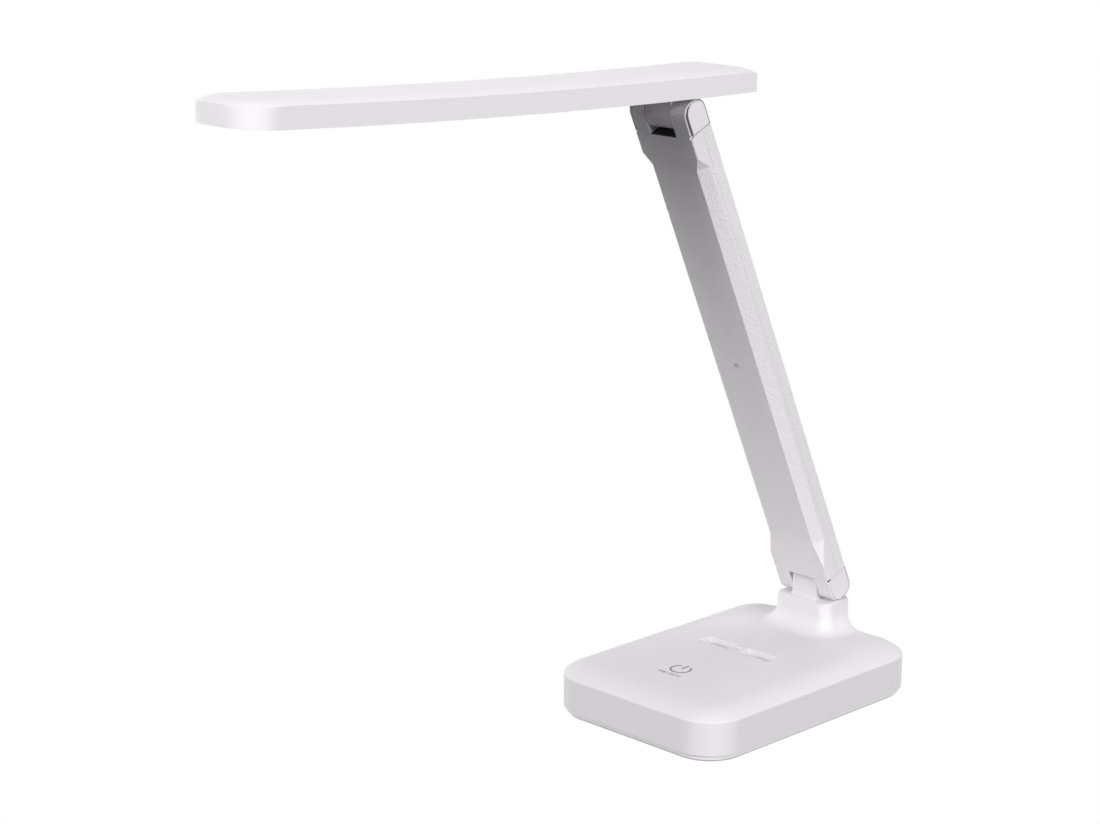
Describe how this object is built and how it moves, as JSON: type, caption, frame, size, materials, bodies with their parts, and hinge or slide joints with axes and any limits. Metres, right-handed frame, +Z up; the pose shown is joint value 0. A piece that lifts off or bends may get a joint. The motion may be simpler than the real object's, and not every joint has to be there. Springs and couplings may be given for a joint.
{
  "type": "folding desk lamp",
  "caption": "Folding desk lamp with a weighted rounded base, two rest slots and a touch switch, a flat folding arm and a long bowed light bar on friction hinges.",
  "frame": {"origin": "centre of the anti-slip pad's underside, on the surface the lamp stands on", "axes": "+Z up, +Y towards the back where the neck stands, the light bar points to -Y, +X to the right seen from the front"},
  "size_m": [0.105, 0.3778, 0.316],
  "materials": {
    "white_shell": "fine matt moulded ABS, cool white",
    "white_inner_moulding": "matt moulded ABS, cool white",
    "rubber_pad": "soft matt grey",
    "zinc_steel": "zinc plated",
    "bright_steel": "bright plated",
    "bearing_nylon": "natural nylon",
    "cell_sleeve": "shrink sleeve",
    "green_board": "solder mask",
    "white_board": "white solder mask",
    "led_phosphor": "phosphor gel",
    "opal_diffuser": "opal acrylic, satin",
    "lead_jacket": "soft PVC"
  },
  "bodies": {
    "base": {"base_top_cover": "white_shell", "base_bottom_plate": "white_inner_moulding", "anti_slip_pad": "rubber_pad", "base_screws": "zinc_steel", "base_counterweight": "zinc_steel", "battery_cell": "cell_sleeve", "control_board": "green_board", "inlet_board": "green_board", "board_screws": "zinc_steel", "touch_electrode": "bright_steel", "charging_socket": "bright_steel", "lower_hinge_bush": "bearing_nylon"},
    "arm": {"arm_front_cover": "white_shell", "arm_rear_cover": "white_shell", "arm_lead": "lead_jacket", "lower_hinge_pin": "bright_steel", "lower_hinge_nut": "bright_steel", "lower_hinge_washers": "bright_steel", "lower_cap_right": "white_shell", "lower_cap_left": "white_shell", "upper_hinge_pin": "bright_steel", "upper_hinge_nut": "bright_steel", "upper_hinge_washers": "bright_steel", "upper_cap_right": "white_shell", "upper_cap_left": "white_shell"},
    "light_bar": {"bar_top_cover": "white_shell", "bar_bottom_frame": "white_inner_moulding", "bar_diffuser": "opal_diffuser", "led_board": "white_board", "led_chips": "led_phosphor", "bar_hinge_bracket": "white_inner_moulding", "bracket_screws": "zinc_steel", "upper_hinge_bush": "bearing_nylon"}
  },
  "joints": [
    {"name": "lower_hinge", "type": "hinge", "parent": "base", "child": "arm", "pos_m": [0, 0.0573, 0.0484], "axis": [1, 0, 0], "range_deg": [-40, 65]},
    {"name": "upper_hinge", "type": "hinge", "parent": "arm", "child": "light_bar", "pos_m": [0, -0.05344, 0.28805], "axis": [1, 0, 0], "range_deg": [-63, 116.5]}
  ]
}
